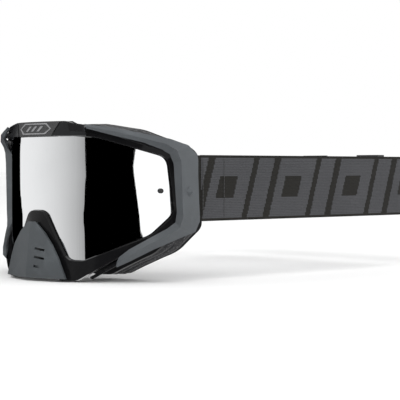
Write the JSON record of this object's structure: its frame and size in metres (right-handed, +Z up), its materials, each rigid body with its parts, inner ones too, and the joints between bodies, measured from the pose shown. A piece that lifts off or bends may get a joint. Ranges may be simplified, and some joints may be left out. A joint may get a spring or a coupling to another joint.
{
  "type": "motocross goggles",
  "caption": "Motocross goggles with a curved mirror lens, side shells, snap-off nose guard, layered face foam and a wide adjustable elastic strap.",
  "frame": {"origin": "face seat: the point midway between the wearer's eyes, 60 mm behind the middle of the lens", "axes": "+Z up, -Y straight ahead of the wearer, +X towards the wearer's left"},
  "size_m": [0.2162, 0.312, 0.109],
  "materials": {
    "shell": "satin charcoal grey",
    "guard": "satin charcoal grey",
    "bezel": "gloss black",
    "frame": "soft black",
    "mirror_lens": "silver mirror coating on smoked lens",
    "post": "grey nylon",
    "badge": "fine grained grey",
    "brow": "dark gloss panel",
    "firm_foam": "firm moulded foam",
    "soft_foam": "open cell foam",
    "fleece": "brushed fleece",
    "filter_foam": "reticulated foam",
    "webbing": "woven elastic webbing with woven grey blocks",
    "outrigger": "black nylon",
    "pin": "bright pin",
    "hardware": "black moulded acetal"
  },
  "bodies": {
    "goggle": {"left_side_shell": "shell", "right_side_shell": "shell", "lens_bezel": "bezel", "face_frame": "frame", "lens": "mirror_lens", "left_tear_off_post": "post", "right_tear_off_post": "post", "badge_plate": "badge", "left_brow_panel": "brow", "right_brow_panel": "brow", "firm_foam_layer": "firm_foam", "soft_foam_layer": "soft_foam", "fleece_layer": "fleece", "top_vent_filter": "filter_foam", "left_vent_filter": "filter_foam", "right_vent_filter": "filter_foam", "left_band": "webbing", "right_band": "webbing", "left_stitched_fold": "webbing", "right_stitched_fold": "webbing", "left_outrigger_pin": "pin", "right_outrigger_pin": "pin", "strap_joiner": "hardware"},
    "guard": {"nose_guard": "guard"},
    "left_outrigger_arm": {"left_outrigger": "outrigger", "left_strap_end": "webbing"},
    "right_outrigger_arm": {"right_outrigger": "outrigger", "right_strap_end": "webbing"},
    "left_adjuster": {"left_slider": "hardware", "left_tail_loop": "webbing", "left_tail": "webbing"},
    "right_adjuster": {"right_slider": "hardware", "right_tail_loop": "webbing", "right_tail": "webbing"}
  },
  "joints": [
    {"name": "guard_pull", "type": "slide", "parent": "goggle", "child": "guard", "axis": [0, -1, 0], "range_m": [0, 0.014]},
    {"name": "left_outrigger_swing", "type": "hinge", "parent": "goggle", "child": "left_outrigger_arm", "pos_m": [0.0866, -0.004, 0], "axis": [0, 0, 1], "range_deg": [-3, 6]},
    {"name": "right_outrigger_swing", "type": "hinge", "parent": "goggle", "child": "right_outrigger_arm", "pos_m": [-0.0866, -0.004, 0], "axis": [0, 0, 1], "range_deg": [-6, 3]},
    {"name": "left_adjuster_slide", "type": "slide", "parent": "goggle", "child": "left_adjuster", "axis": [1, 0, 0], "range_m": [-0.028, 0], "deforming": ["left_tail"]},
    {"name": "right_adjuster_slide", "type": "slide", "parent": "goggle", "child": "right_adjuster", "axis": [-1, 0, 0], "range_m": [-0.028, 0], "deforming": ["right_tail"]}
  ]
}
